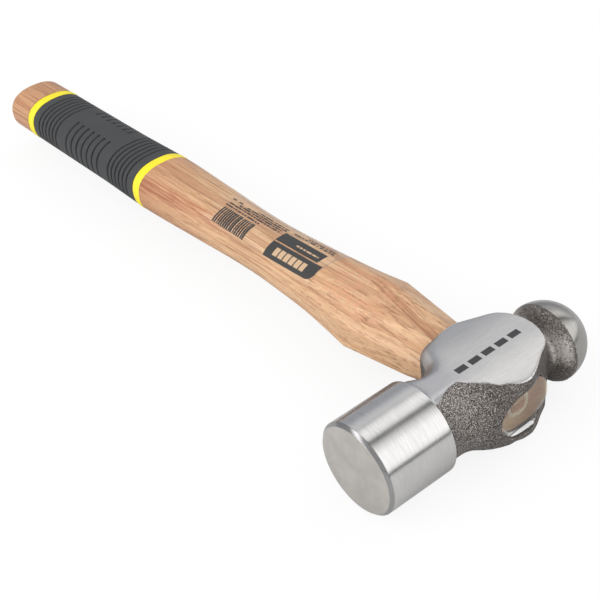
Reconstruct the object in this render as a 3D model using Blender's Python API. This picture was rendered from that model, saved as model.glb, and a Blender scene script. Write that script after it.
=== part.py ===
"""Ball peen hammer, two-pound size, lying on its side.

Frame: metres. The origin is the centre of the striking face, which looks along -Y, with the ball at +Y.
The handle runs along -X from the eye, and the top of the head faces +X. +Z comes up out of one cheek.
"""

import math

import bmesh
import bpy

MM = 0.001

# Head, along Y from the striking face.
HEAD_LENGTH = 114.2 * MM
EYE_Y = 65.6 * MM
FACE_RADIUS = 19.1 * MM
FACE_CHAMFER = 1.1 * MM
POLL_LENGTH = 31.7 * MM
POLL_REAR_ROUND = 0.5 * MM
NECK_Y = 40.0 * MM
NECK_WIDTH = 15.8 * MM
BODY_END_Y = 88.7 * MM
BALL_NECK_Y = 92.2 * MM
BALL_NECK_RADIUS = 10.1 * MM
BALL_RIM_Y = 97.6 * MM
BALL_RIM_RADIUS = 16.7 * MM
BALL_FLANK_LENGTH = 6.0 * MM
BODY_SQUARENESS = 2.8
ROUND_NECK_Y = 37.5 * MM
SQUARE_FROM_Y = 54.0 * MM
SQUARE_TO_Y = 80.0 * MM

# Half the body's width along X, from the neck to the ball: (distance from the face, half width).
BODY_PROFILE = (
    (34.5 * MM, 16.2 * MM),
    (NECK_Y, NECK_WIDTH),
    (45.0 * MM, 18.0 * MM),
    (51.0 * MM, 21.2 * MM),
    (57.5 * MM, 23.1 * MM),
    (63.5 * MM, 23.4 * MM),
    (71.0 * MM, 21.7 * MM),
    (78.5 * MM, 17.9 * MM),
    (84.0 * MM, 14.5 * MM),
    (BODY_END_Y, 10.8 * MM),
    (BALL_NECK_Y, BALL_NECK_RADIUS),
)

# Ground cheeks: a flat land down the middle that falls away in a crown to both sides.
CHEEK_HEIGHT = 16.5 * MM
CHEEK_LAND = 3.0 * MM
CHEEK_CROWN_RADIUS = 68.0 * MM
CHEEK_DISC_Y = 67.2 * MM
CHEEK_DISC_RADIUS = 21.5 * MM
CHEEK_STRIP = 5.5 * MM
CHEEK_FLANK_START = 44.3 * MM
CHEEK_FLANK_SLOPE = 0.886
CHEEK_BLEND = 1.2 * MM

# Eye: an oval hole along X that is narrowest in the middle: (x, half length along Y, half height along Z).
EYE_SECTIONS = (
    (-28.0 * MM, 15.4 * MM, 10.5 * MM),
    (-19.0 * MM, 14.1 * MM, 9.4 * MM),
    (0.0, 13.1 * MM, 8.9 * MM),
    (28.0 * MM, 14.2 * MM, 10.3 * MM),
)
OVAL_POWER = 2.35
GAP = 0.3 * MM

# Handle, from the eye to the butt: (x, half width along Y, half thickness along Z).
SHOULDER_X = -61.3 * MM
SHOULDER = (SHOULDER_X, 18.65 * MM, 13.3 * MM)
HEAD_END = (-17.0 * MM, 13.5 * MM, 8.75 * MM)
HANDLE_PROFILE = (
    SHOULDER,
    (-76.4 * MM, 16.6 * MM, 13.0 * MM),
    (-103.5 * MM, 14.1 * MM, 12.0 * MM),
    (-133.2 * MM, 13.1 * MM, 11.2 * MM),
    (-175.0 * MM, 14.8 * MM, 11.7 * MM),
    (-214.0 * MM, 16.3 * MM, 12.2 * MM),
    (-252.7 * MM, 15.7 * MM, 11.7 * MM),
    (-339.3 * MM, 15.7 * MM, 11.4 * MM),
)
BUTT_X = -339.3 * MM
BUTT_ROUND = 3.5 * MM
TENON_END_X = 17.9 * MM
FACET_WIDTH = 0.755
FACET_POWER = 18.0
FACET_FADE_X = -100.0 * MM
FACET_END_X = -22.0 * MM
FACET_END_LENGTH = 8.0 * MM

# Grip: a rubber sleeve between two bands, let into a shallow recess in the wood.
GRIP_FRONT_X = -211.8 * MM
GRIP_REAR_X = -319.6 * MM
GRIP_RECESS = 1.1 * MM
BAND_LENGTH = 5.3 * MM
GROOVE_PITCH = 3.42 * MM
GROOVE_HALF_WIDTH = 0.6 * MM
GROOVE_DEPTH = 0.5 * MM
GROOVE_COUNT = 6
LIP_LENGTH = 5.8 * MM

# Fixings in the eye.
RING_RADIUS = 5.7 * MM
RING_WALL = 1.3 * MM
RING_DEPTH = 9.0 * MM
RING_CENTRE_Y = EYE_Y - 1.5 * MM
RING_CENTRE_Z = 1.2 * MM
WEDGE_HALF_LENGTH = 11.0 * MM
WEDGE_THICK = 2.6 * MM
WEDGE_THIN = 1.0 * MM
WEDGE_DEPTH = 20.0 * MM
SEALANT_THICKNESS = 0.9 * MM

# Printed film on the upper side of the handle.
FILM_FRONT_X = -88.0 * MM
FILM_REAR_X = -165.0 * MM
FILM_THICKNESS = 0.25 * MM
FILM_LIFT = 0.15 * MM
FILM_FIRST_ANGLE = math.radians(38.0)
FILM_LAST_ANGLE = math.radians(150.0)

HEAD_SEGMENTS = 48
HANDLE_SEGMENTS = 40


def clear_scene():
    for obj in list(bpy.data.objects):
        bpy.data.objects.remove(obj)


def material(name, colour, roughness, metallic=0.0, alpha=1.0):
    made = bpy.data.materials.new(name)
    made.use_nodes = True
    shader = made.node_tree.nodes["Principled BSDF"]
    shader.inputs["Base Color"].default_value = (*colour, 1.0)
    shader.inputs["Roughness"].default_value = roughness
    shader.inputs["Metallic"].default_value = metallic
    shader.inputs["Alpha"].default_value = alpha
    return made


def signed_power(value, power):
    return math.copysign(abs(value) ** power, value)


def smooth_max(a, b, width):
    """The larger of two lengths, rounded over the given width where they are close."""
    return 0.5 * (a + b + math.sqrt((a - b) ** 2 + width**2))


def smooth_min(a, b, width):
    return -smooth_max(-a, -b, width)


def ease(value):
    """0 to 1 with level ends."""
    held = min(max(value, 0.0), 1.0)
    return held * held * (3.0 - 2.0 * held)


def along(points, place):
    """A smooth curve through points of (place, value, ...), read at one place, that never overshoots them."""
    points = sorted(points)
    place = min(max(place, points[0][0]), points[-1][0])
    index = 0
    while index < len(points) - 2 and place > points[index + 1][0]:
        index += 1
    start, end = points[index], points[index + 1]
    before = points[max(index - 1, 0)]
    after = points[min(index + 2, len(points) - 1)]
    step = end[0] - start[0]
    t = (place - start[0]) / step
    values = []
    for k in range(1, len(start)):
        rise = (end[k] - start[k]) / step
        rise_in = (start[k] - before[k]) / (start[0] - before[0]) if before is not start else rise
        rise_out = (after[k] - end[k]) / (after[0] - end[0]) if after is not end else rise
        slope_in = 2.0 * rise * rise_in / (rise + rise_in) if rise * rise_in > 0.0 else 0.0
        slope_out = 2.0 * rise * rise_out / (rise + rise_out) if rise * rise_out > 0.0 else 0.0
        values.append(
            start[k] * (1.0 + 2.0 * t) * (1.0 - t) ** 2
            + end[k] * t * t * (3.0 - 2.0 * t)
            + step * (slope_in * t * (1.0 - t) ** 2 - slope_out * t * t * (1.0 - t))
        )
    return values


def mesh_object(name, build, look):
    """An object whose mesh build(bmesh) fills in, with its faces turned outwards."""
    shape = bmesh.new()
    build(shape)
    bmesh.ops.recalc_face_normals(shape, faces=shape.faces)
    mesh = bpy.data.meshes.new(name)
    shape.to_mesh(mesh)
    shape.free()
    mesh.shade_smooth()
    mesh.set_sharp_from_angle(angle=math.radians(30))
    made = bpy.data.objects.new(name, mesh)
    bpy.context.scene.collection.objects.link(made)
    if look:
        mesh.materials.append(look)
    return made


def loft(shape, rings):
    """A closed solid through rings of equal length, with flat ends."""
    loops = [[shape.verts.new(point) for point in ring] for ring in rings]
    count = len(rings[0])
    for first, second in zip(loops, loops[1:]):
        for i in range(count):
            j = (i + 1) % count
            shape.faces.new((first[i], first[j], second[j], second[i]))
    shape.faces.new(loops[0])
    shape.faces.new(loops[-1])


def tube(shape, outer, inner):
    """A closed tube through outer rings, and back through inner rings of the same places."""
    loops = [[shape.verts.new(point) for point in ring] for ring in outer + inner[::-1]]
    count = len(outer[0])
    for first, second in zip(loops, loops[1:] + loops[:1]):
        for i in range(count):
            j = (i + 1) % count
            shape.faces.new((first[i], first[j], second[j], second[i]))


def cut(target, cutter):
    cutter.hide_render = True
    cutter.display_type = "WIRE"
    boolean = target.modifiers.new(f"cut by {cutter.name}", "BOOLEAN")
    boolean.operation = "DIFFERENCE"
    boolean.solver = "EXACT"
    boolean.object = cutter


def head_angles():
    """Angles round the head's axis, half a step off the vertical so that each cheek ends in a flat land."""
    return [2.0 * math.pi * (i + 0.5) / HEAD_SEGMENTS for i in range(HEAD_SEGMENTS)]


def round_ring(y, radius):
    return [(radius * math.cos(a), y, radius * math.sin(a)) for a in head_angles()]


def cheek_height(x):
    beyond_land = max(abs(x) - CHEEK_LAND, 0.0)
    return CHEEK_HEIGHT - beyond_land**2 / (2.0 * CHEEK_CROWN_RADIUS)


def cheek_half_width(y):
    """Half the width of the ground cheek along X: a strip on the neck that opens into a disc on the body."""
    disc = math.sqrt(max(CHEEK_DISC_RADIUS**2 - (y - CHEEK_DISC_Y) ** 2, 0.0))
    if y > CHEEK_DISC_Y:
        return disc
    flank = CHEEK_STRIP + CHEEK_FLANK_SLOPE * (y - CHEEK_FLANK_START)
    return smooth_max(CHEEK_STRIP, smooth_min(disc, flank, CHEEK_BLEND), CHEEK_BLEND)


def body_half_height(y, half_width, squareness):
    """The forged half height whose section crosses the cheek exactly at the cheek's edge."""
    if y > BODY_END_Y:
        fall = (y - BODY_END_Y) / (BALL_NECK_Y - BODY_END_Y)
        return BALL_NECK_RADIUS + (CHEEK_HEIGHT - BALL_NECK_RADIUS) * (1.0 - fall) ** 1.5
    edge = min(cheek_half_width(y), 0.96 * half_width)
    return cheek_height(edge) / (1.0 - (edge / half_width) ** squareness) ** (1.0 / squareness)


def body_ring(y):
    """The body's section: a squarish oval forging with both cheeks ground down to their crown."""
    half_width = along(BODY_PROFILE, y)[0]
    opening = ease((y - ROUND_NECK_Y) / (SQUARE_FROM_Y - ROUND_NECK_Y))
    closing = ease((BALL_NECK_Y - y) / (BALL_NECK_Y - SQUARE_TO_Y))
    squareness = 2.0 + (BODY_SQUARENESS - 2.0) * opening * closing
    half_height = body_half_height(y, half_width, squareness)
    ring = []
    for angle in head_angles():
        across = abs(math.cos(angle)) / half_width
        up = abs(math.sin(angle)) / half_height
        radius = (across**squareness + up**squareness) ** (-1.0 / squareness)
        x = radius * math.cos(angle)
        z = radius * math.sin(angle)
        ring.append((x, y, math.copysign(min(abs(z), cheek_height(x)), z)))
    return ring


def head_rings():
    poll = (
        (0.0, FACE_RADIUS - FACE_CHAMFER),
        (FACE_CHAMFER, FACE_RADIUS),
        (POLL_LENGTH - POLL_REAR_ROUND, FACE_RADIUS),
        (POLL_LENGTH, FACE_RADIUS - POLL_REAR_ROUND),
    )
    rings = [round_ring(y, radius) for y, radius in poll]
    body_start = BODY_PROFILE[0][0] - 1.5 * MM
    body_steps = 24
    for i in range(body_steps + 1):
        rings.append(body_ring(body_start + (BODY_END_Y - body_start) * i / body_steps))
    for fall in (0.2, 0.45, 0.7, 1.0):
        rings.append(body_ring(BODY_END_Y + (BALL_NECK_Y - BODY_END_Y) * fall))
    for degrees in (40, 28, 16, 6):
        turn = math.radians(degrees)
        rings.append(round_ring(BALL_RIM_Y - BALL_FLANK_LENGTH * math.sin(turn), BALL_RIM_RADIUS * math.cos(turn)))
    dome_length = HEAD_LENGTH - BALL_RIM_Y
    for degrees in (6, 18, 30, 42, 54, 66, 77):
        turn = math.radians(degrees)
        rings.append(round_ring(BALL_RIM_Y + dome_length * math.sin(turn), BALL_RIM_RADIUS * math.cos(turn)))
    return rings


def add_ball_tip(shape):
    """Closes the dome with a fan round its tip, in place of the loft's flat end."""
    last = max(shape.faces, key=lambda face: face.calc_center_median().y)
    bmesh.ops.poke(shape, faces=[last])
    tip = max(shape.verts, key=lambda vert: (len(vert.link_edges), vert.co.y))
    tip.co.y = HEAD_LENGTH


def oval_ring(x, half_length, half_height, centre_y=EYE_Y, count=HANDLE_SEGMENTS):
    ring = []
    for i in range(count):
        angle = 2.0 * math.pi * i / count
        y = centre_y + half_length * signed_power(math.cos(angle), 2.0 / OVAL_POWER)
        z = half_height * signed_power(math.sin(angle), 2.0 / OVAL_POWER)
        ring.append((x, y, z))
    return ring


def make_head():
    def build(shape):
        loft(shape, head_rings())
        add_ball_tip(shape)

    def build_eye(shape):
        first, last = EYE_SECTIONS[0][0], EYE_SECTIONS[-1][0]
        places = [first + (last - first) * i / 14 for i in range(15)]
        loft(shape, [oval_ring(x, *eye_size(x)) for x in places])

    head = mesh_object("hammer_head", build, material("forged_steel", (0.33, 0.31, 0.30), 0.42, 1.0))
    cut(head, mesh_object("eye_cutter", build_eye, None))
    return head


def eye_size(x):
    """(half length, half height) of the eye at x."""
    return along(EYE_SECTIONS, x)


def handle_size(x):
    """(half width along Y, half thickness along Z) of the handle at x, tenon included."""
    if x < SHOULDER_X:
        return along(HANDLE_PROFILE, x)
    if x < HEAD_END[0]:
        share = (x - SHOULDER_X) / (HEAD_END[0] - SHOULDER_X)
        return [SHOULDER[k] + (HEAD_END[k] - SHOULDER[k]) * share for k in (1, 2)]
    return [size - GAP for size in eye_size(x)]


def handle_radius(x, angle, inset=0.0):
    """Distance from the handle's axis to its surface, angle 0 towards +Y and a quarter turn towards +Z."""
    half_width, half_thickness = [size - inset for size in handle_size(x)]
    across = abs(math.cos(angle))
    up = abs(math.sin(angle))
    oval = ((across / half_width) ** OVAL_POWER + (up / half_thickness) ** OVAL_POWER) ** (-1.0 / OVAL_POWER)
    if x > FACET_END_X or x < FACET_FADE_X:
        return oval
    corner = FACET_WIDTH * (half_width + half_thickness)
    sides = (across / half_width) ** FACET_POWER
    flats = (up / half_thickness) ** FACET_POWER
    corners = ((across + up) / corner) ** FACET_POWER
    faceted = (sides + flats + corners) ** (-1.0 / FACET_POWER)
    fade_in = ease((x - FACET_FADE_X) / (SHOULDER_X - FACET_FADE_X))
    fade_out = ease((FACET_END_X - x) / FACET_END_LENGTH)
    share = fade_in * fade_out
    return oval + (faceted - oval) * share


def handle_ring(x, inset=0.0):
    ring = []
    for i in range(HANDLE_SEGMENTS):
        angle = 2.0 * math.pi * i / HANDLE_SEGMENTS
        radius = handle_radius(x, angle, inset)
        ring.append((x, EYE_Y + radius * math.cos(angle), radius * math.sin(angle)))
    return ring


def handle_places():
    """(x, inset) of each section, from the tenon's end to the butt."""
    tenon = [(TENON_END_X, 0.0), (8.0 * MM, 0.0), (0.0, 0.0), (-8.0 * MM, 0.0)]
    taper = [(-17.0 * MM, 0.0), (FACET_END_X, 0.0), (-30.0 * MM, 0.0), (-45.0 * MM, 0.0), (SHOULDER_X, 0.0)]
    waist = [(x * MM, 0.0) for x in (-68, -76, -85, -94, -104, -116, -130, -145, -160, -178, -196)]
    recess = [(GRIP_FRONT_X, 0.0), (GRIP_FRONT_X, GRIP_RECESS)]
    recess += [(x * MM, GRIP_RECESS) for x in (-232, -253, -276, -298)]
    recess += [(GRIP_REAR_X, GRIP_RECESS), (GRIP_REAR_X, 0.0)]
    butt = []
    for degrees in (0, 25, 50, 75):
        turn = math.radians(degrees)
        inset = BUTT_ROUND * (1.0 - math.cos(turn))
        butt.append((BUTT_X + BUTT_ROUND * (1.0 - math.sin(turn)), inset))
    return tenon + taper + waist + recess + butt


def make_handle():
    def build(shape):
        loft(shape, [handle_ring(x, inset) for x, inset in handle_places()])

    def build_kerf(shape):
        wedge_shape(shape, GAP, 4.0 * MM)

    def build_groove(shape):
        ring_shape(shape, GAP, 4.0 * MM)

    handle = mesh_object("handle", build, material("ash_wood", (0.68, 0.46, 0.27), 0.45))
    cut(handle, mesh_object("kerf_cutter", build_kerf, None))
    cut(handle, mesh_object("handle_groove_cutter", build_groove, None))
    return handle


def wedge_shape(shape, margin=0.0, extra=0.0):
    """A flat wooden wedge in the eye's long plane, grown by a margin and lengthened at its thick end."""
    top = TENON_END_X
    slope = (WEDGE_THICK - WEDGE_THIN) / WEDGE_DEPTH
    rings = []
    for x in (top - WEDGE_DEPTH - margin, top + extra):
        half_thickness = 0.5 * (WEDGE_THICK + slope * (x - top)) + margin
        half_length = WEDGE_HALF_LENGTH + margin
        corners = ((-1, -1), (1, -1), (1, 1), (-1, 1))
        rings.append([(x, EYE_Y + side * half_length, up * half_thickness) for side, up in corners])
    loft(shape, rings)


def ring_shape(shape, margin=0.0, extra=0.0):
    """A round tube driven into the tenon's end, grown by a margin and lengthened outwards."""

    def ring(x, radius):
        turns = [2.0 * math.pi * i / 32 for i in range(32)]
        return [(x, RING_CENTRE_Y + radius * math.cos(t), RING_CENTRE_Z + radius * math.sin(t)) for t in turns]

    ends = (TENON_END_X - RING_DEPTH - margin, TENON_END_X + extra)
    outer = [ring(x, RING_RADIUS + margin) for x in ends]
    inner = [ring(x, RING_RADIUS - RING_WALL - margin) for x in ends]
    tube(shape, outer, inner)


def make_eye_wedge():
    def build_groove(shape):
        ring_shape(shape, GAP, 4.0 * MM)

    wedge = mesh_object("eye_wedge", wedge_shape, material("wedge_wood", (0.55, 0.40, 0.24), 0.5))
    cut(wedge, mesh_object("wedge_groove_cutter", build_groove, None))
    return wedge


def make_ring_wedge():
    return mesh_object("ring_wedge", ring_shape, material("ring_steel", (0.62, 0.64, 0.64), 0.3, 1.0))


def make_eye_sealant():
    """The clear coat poured over the wood in the eye's mouth."""

    def build(shape):
        bottom = TENON_END_X + GAP
        rings = []
        for x in (bottom, bottom + SEALANT_THICKNESS):
            half_length, half_height = eye_size(x)
            rings.append(oval_ring(x, half_length - GAP, half_height - GAP))
        loft(shape, rings)

    return mesh_object("eye_sealant", build, material("clear_lacquer", (0.75, 0.66, 0.48), 0.08, 0.0, 0.45))


def groove_places(centre):
    return [(centre + GROOVE_HALF_WIDTH, 0.0), (centre, GROOVE_DEPTH), (centre - GROOVE_HALF_WIDTH, 0.0)]


def sleeve_places():
    """(x, depth below the full section) down the sleeve, with round grooves near both ends."""
    front = GRIP_FRONT_X - GAP - BAND_LENGTH - GAP
    rear = GRIP_REAR_X + GAP + BAND_LENGTH + GAP
    places = [(front, 0.0)]
    for i in range(GROOVE_COUNT):
        centre = front - LIP_LENGTH - i * GROOVE_PITCH
        places += groove_places(centre)
    places.append((0.5 * (front + rear), 0.0))
    for i in reversed(range(GROOVE_COUNT)):
        centre = rear + LIP_LENGTH + i * GROOVE_PITCH
        places += groove_places(centre)
    places.append((rear, 0.0))
    return places


def make_grip_sleeve():
    def build(shape):
        places = sleeve_places()
        front, rear = places[0][0], places[-1][0]
        bore = [front + (rear - front) * i / 4 for i in range(5)]
        outer = [handle_ring(x, depth) for x, depth in places]
        inner = [handle_ring(x, GRIP_RECESS - GAP) for x in bore]
        tube(shape, outer, inner)

    return mesh_object("grip_sleeve", build, material("charcoal_rubber", (0.035, 0.038, 0.042), 0.7))


def make_band(name, front):
    def build(shape):
        ends = (front, front - BAND_LENGTH)
        outer = [handle_ring(x) for x in ends]
        inner = [handle_ring(x, GRIP_RECESS - GAP) for x in ends]
        tube(shape, outer, inner)

    return mesh_object(name, build, material(f"{name}_yellow", (0.90, 0.78, 0.02), 0.4))


def make_label_film():
    """A thin printed film wrapped over the upper side of the handle's waist."""

    def build(shape):
        steps_along, steps_round = 16, 16
        layers = []
        for lift in (FILM_LIFT, FILM_LIFT + FILM_THICKNESS):
            grid = []
            for i in range(steps_along + 1):
                x = FILM_FRONT_X + (FILM_REAR_X - FILM_FRONT_X) * i / steps_along
                row = []
                for j in range(steps_round + 1):
                    angle = FILM_FIRST_ANGLE + (FILM_LAST_ANGLE - FILM_FIRST_ANGLE) * j / steps_round
                    radius = handle_radius(x, angle) + lift
                    row.append((x, EYE_Y + radius * math.cos(angle), radius * math.sin(angle)))
                grid.append(row)
            layers.append(grid)
        rings = []
        for lower, upper in zip(*layers):
            rings.append(lower + upper[::-1])
        loft(shape, rings)
        bmesh.ops.triangulate(shape, faces=[face for face in shape.faces if len(face.verts) > 4])

    return mesh_object("label_film", build, material("printed_film", (0.10, 0.09, 0.08), 0.35))


def main():
    clear_scene()
    make_head()
    make_handle()
    make_eye_wedge()
    make_ring_wedge()
    make_eye_sealant()
    make_grip_sleeve()
    make_band("front_band", GRIP_FRONT_X - GAP)
    make_band("rear_band", GRIP_REAR_X + GAP + BAND_LENGTH)
    make_label_film()


main()
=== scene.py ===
"""Ball peen hammer: the visual model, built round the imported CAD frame.

Frame: metres. The striking face is at y = 0 and looks along -Y, the ball is at +Y, and the handle runs
along -X. +Z comes up out of the cheek that carries the row of dashes.
"""

import math

import bmesh
import bpy
import numpy as np
from mathutils import Matrix, Vector, noise


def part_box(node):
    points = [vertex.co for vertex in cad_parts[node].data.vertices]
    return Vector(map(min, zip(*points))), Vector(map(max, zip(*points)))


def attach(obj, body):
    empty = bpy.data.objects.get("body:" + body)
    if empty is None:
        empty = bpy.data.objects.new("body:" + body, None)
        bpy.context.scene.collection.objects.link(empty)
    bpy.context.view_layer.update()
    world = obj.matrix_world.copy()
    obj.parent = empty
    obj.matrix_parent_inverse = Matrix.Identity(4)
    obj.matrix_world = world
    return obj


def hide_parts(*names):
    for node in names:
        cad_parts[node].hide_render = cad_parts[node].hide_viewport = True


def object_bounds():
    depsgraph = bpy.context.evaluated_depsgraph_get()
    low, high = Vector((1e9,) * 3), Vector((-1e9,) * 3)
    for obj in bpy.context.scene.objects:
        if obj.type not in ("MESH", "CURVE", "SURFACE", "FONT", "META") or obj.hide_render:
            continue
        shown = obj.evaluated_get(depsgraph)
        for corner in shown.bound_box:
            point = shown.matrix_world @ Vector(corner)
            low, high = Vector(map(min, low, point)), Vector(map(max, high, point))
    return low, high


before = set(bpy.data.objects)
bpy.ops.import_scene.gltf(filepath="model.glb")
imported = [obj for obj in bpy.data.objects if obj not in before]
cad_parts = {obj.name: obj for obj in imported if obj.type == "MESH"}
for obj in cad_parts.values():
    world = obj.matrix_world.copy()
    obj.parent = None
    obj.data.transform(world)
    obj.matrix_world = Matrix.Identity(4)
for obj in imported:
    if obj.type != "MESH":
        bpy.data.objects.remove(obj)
cad_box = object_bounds()

MM = 0.001

# Driving dimensions, from the frame.
HEAD_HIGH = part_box("hammer_head")[1]
HANDLE_LOW, HANDLE_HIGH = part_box("handle")
SLEEVE_LOW, SLEEVE_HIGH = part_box("grip_sleeve")
FRONT_BAND_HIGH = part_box("front_band")[1]
REAR_BAND_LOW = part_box("rear_band")[0]
RING_LOW, RING_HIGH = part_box("ring_wedge")
WEDGE_LOW, WEDGE_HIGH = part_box("eye_wedge")
SEALANT_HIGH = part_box("eye_sealant")[1]
FILM_LOW, FILM_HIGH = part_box("label_film")

HEAD_LENGTH = HEAD_HIGH.y
POLL_RADIUS = HEAD_HIGH.z
BODY_HALF_WIDTH = HEAD_HIGH.x + 0.88 * MM  # the eye takes away the widest part of the forging
EYE_Y = 0.5 * (HANDLE_LOW.y + HANDLE_HIGH.y)
TENON_END_X = HANDLE_HIGH.x
BUTT_X = HANDLE_LOW.x
SHOULDER_HALF_WIDTH = 0.5 * (HANDLE_HIGH.y - HANDLE_LOW.y)
SHOULDER_HALF_THICKNESS = HANDLE_HIGH.z

# Head, along Y from the striking face.
FACE_CHAMFER = 1.4 * MM
POLL_LENGTH = 31.7 * MM
POLL_REAR_ROUND = 0.6 * MM
NECK_START_Y = 37.0 * MM
BODY_END_Y = 88.7 * MM
BALL_NECK_Y = 92.2 * MM
BALL_NECK_RADIUS = 10.1 * MM
BALL_RIM_Y = 97.6 * MM
BALL_RIM_RADIUS = 16.7 * MM
BALL_FLANK_LENGTH = 6.0 * MM
BODY_SQUARENESS = 3.7
ROUND_NECK_Y = 42.0 * MM
SQUARE_FROM_Y = 60.0 * MM
SQUARE_TO_Y = 66.0 * MM
BODY_PROFILE = (  # (y in mm, half width as a share of the body's)
    (34.5, 0.700),
    (40.0, 0.705),
    (45.0, 0.785),
    (51.0, 0.940),
    (57.5, 1.005),
    (63.5, 1.000),
    (71.0, 0.890),
    (78.5, 0.705),
    (84.0, 0.585),
    (88.7, 0.462),
)
BODY_OUTLINE = [(y * MM, share * BODY_HALF_WIDTH) for y, share in BODY_PROFILE]
BODY_OUTLINE.append((BALL_NECK_Y, BALL_NECK_RADIUS))

# On the handle's side the neck is ground narrower and the body is fuller behind the eye. Each span says
# where that starts, is whole, begins to fade and ends.
SIDE_HOLLOW = 0.29
SIDE_HOLLOW_SPAN = (34.0 * MM, 40.0 * MM, 47.0 * MM, 54.0 * MM)
SIDE_FULLNESS = 0.05
SIDE_FULLNESS_SPAN = (66.0 * MM, 72.0 * MM, BODY_END_Y - 8.0 * MM, BODY_END_Y)

# Ground cheeks: a crowned land in the shape of a disc with a strip that runs to the poll.
CHEEK_HEIGHT = 16.5 * MM
CHEEK_LAND = 3.0 * MM
CHEEK_CROWN_RADIUS = 62.0 * MM
CHEEK_DISC_Y = 67.2 * MM
CHEEK_DISC_RADIUS = 21.8 * MM
CHEEK_STRIP = 5.5 * MM
CHEEK_FLANK_START = 44.3 * MM
CHEEK_FLANK_SLOPE = 0.886
CHEEK_BLEND = 1.6 * MM
CHEEK_EDGE_ROUND = 0.35 * MM
NECK_POLISH = 1.3 * MM
SIDE_POLISH = 7.0 * MM

# The row of plain dashes on the upper cheek.
DASH_ROW_START_Y = 49.0 * MM
DASH_ROW_END_Y = 83.0 * MM
DASH_PITCH = 6.9 * MM
DASH_LENGTH = 5.2 * MM
DASH_LOW_X = 0.4 * MM
DASH_HIGH_X = 3.4 * MM

# The skin as forged: how deep it is sunk on average, and its broad and fine unevenness.
FORGED_SINK = 0.10 * MM
FORGED_BROAD = 0.12 * MM
FORGED_FINE = 0.07 * MM

# Eye: (x, half length along Y, half height along Z), narrowest in the middle.
EYE_SECTIONS = MM * np.array([
    (-28.0, 15.4, 10.5),
    (-19.0, 14.1, 9.4),
    (0.0, 13.1, 8.9),
    (28.0, 14.2, 10.3),
])
OVAL_POWER = 2.35
EYE_RIM_ROUND = 0.9 * MM

# Handle, from the eye to the butt: (x, half width along Y, half thickness along Z).
SHOULDER_X = -61.3 * MM
HEAD_END_X = -17.0 * MM
HEAD_END = (13.5 * MM, 8.75 * MM)
HANDLE_PROFILE = MM * np.array([
    (SHOULDER_X / MM, SHOULDER_HALF_WIDTH / MM, SHOULDER_HALF_THICKNESS / MM),
    (-76.4, 16.6, 13.0),
    (-103.5, 14.1, 12.0),
    (-133.2, 13.1, 11.2),
    (-175.0, 14.8, 11.7),
    (-214.0, 16.3, 12.2),
    (-252.7, 15.7, 11.7),
    (BUTT_X / MM, 15.7, 11.4),
])
BUTT_ROUND = 3.5 * MM
FACET_REACH = 1.43  # the sum of the shares of half width and half thickness on a corner facet
FACET_POWER = 40.0
FACET_FADE_X = -100.0 * MM
FACET_END_X = -22.0 * MM
FACET_END_LENGTH = 8.0 * MM
RIDGE_SLANT = 0.15  # how far the ridges run inwards per unit of length, ahead of the shoulder
CHIP_DEPTH = 0.5 * MM
CHIPS_X = -20.5 * MM
CHIPS_SPREAD = 2.2 * MM
TENON_GAP = 0.12 * MM

# The growth lines curve round a line this far from the handle's axis, towards the face and under it.
PITH_AHEAD = 34.0 * MM
PITH_UNDER = 61.0 * MM

# Ring wedge.
RING_WALL = 1.9 * MM
RING_PROUD = 0.25 * MM
RING_LIP = 0.45 * MM

# Grip.
GRIP_RECESS = 1.1 * MM
ROUND_GROOVE_COUNT = 6
ROUND_GROOVE_PITCH = 3.42 * MM
LIP_LENGTH = 5.8 * MM
SIDE_GROOVE_COUNT = 7
SIDE_GROOVE_PITCH = 4.95 * MM
SIDE_GROOVE_END = math.radians(62)
GROOVE_HALF_WIDTH = 0.8 * MM
GROOVE_DEPTH = 0.95 * MM
BAND_CROWN = 0.3 * MM

HEAD_AROUND = 256
HANDLE_AROUND = 192
GRIP_AROUND = 208
EYE_AROUND = 128

FILM_FIRST_ANGLE = math.radians(38)
FILM_LAST_ANGLE = math.radians(150)
FILM_LIFT = 0.06 * MM
FILM_THICKNESS = 0.04 * MM

# Rows of small plain print on the film: (start, end, distance round from the top), in mm.
SMALL_PRINT = (
    (48.0, 72.0, 0.9),
    (36.0, 72.0, -0.9),
    (36.0, 66.0, -2.3),
    (34.0, 62.0, -3.7),
    (66.0, 74.0, -4.2),
    (34.0, 56.0, -5.1),
    (4.0, 30.0, -5.0),
    (5.0, 22.0, -6.6),
)

# Camera: the direction it looks from, and how it is turned.
CAMERA_AZIMUTH = math.radians(55.09)
CAMERA_ELEVATION = math.radians(36.79)
CAMERA_ROLL = math.radians(-7.61)
CAMERA_DISTANCE = 0.542
CAMERA_LENS = 77.95
CAMERA_TARGET = Vector((-91.9 * MM, EYE_Y - 15.2 * MM, 0.0))

# Light from the panels ahead of the striking face and behind the ball, on dull and on mirroring surfaces.
FRONT_LIGHT = 2.6
FRONT_MIRRORED = 0.5
FRONT_GLINT = 2.4
BACK_LIGHT = 1.3


# ---- shape helpers


def smooth_max(a, b, width):
    """The larger of two lengths, rounded over the given width where they are close."""
    return 0.5 * (a + b + np.sqrt((a - b) ** 2 + width**2))


def smooth_min(a, b, width):
    return -smooth_max(-a, -b, width)


def ease(value):
    """0 to 1 with level ends."""
    held = np.clip(value, 0.0, 1.0)
    return held * held * (3.0 - 2.0 * held)


def swell(y, start, whole, fading, end):
    """0 up to start and from end on, and 1 between whole and fading."""
    return ease((y - start) / (whole - start)) * ease((end - y) / (end - fading))


def squircle(across, up, power):
    """How far a rounded box of size 1 reaches along a direction; a power of 2 gives a circle."""
    return (across**power + up**power) ** (-1.0 / power)


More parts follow.
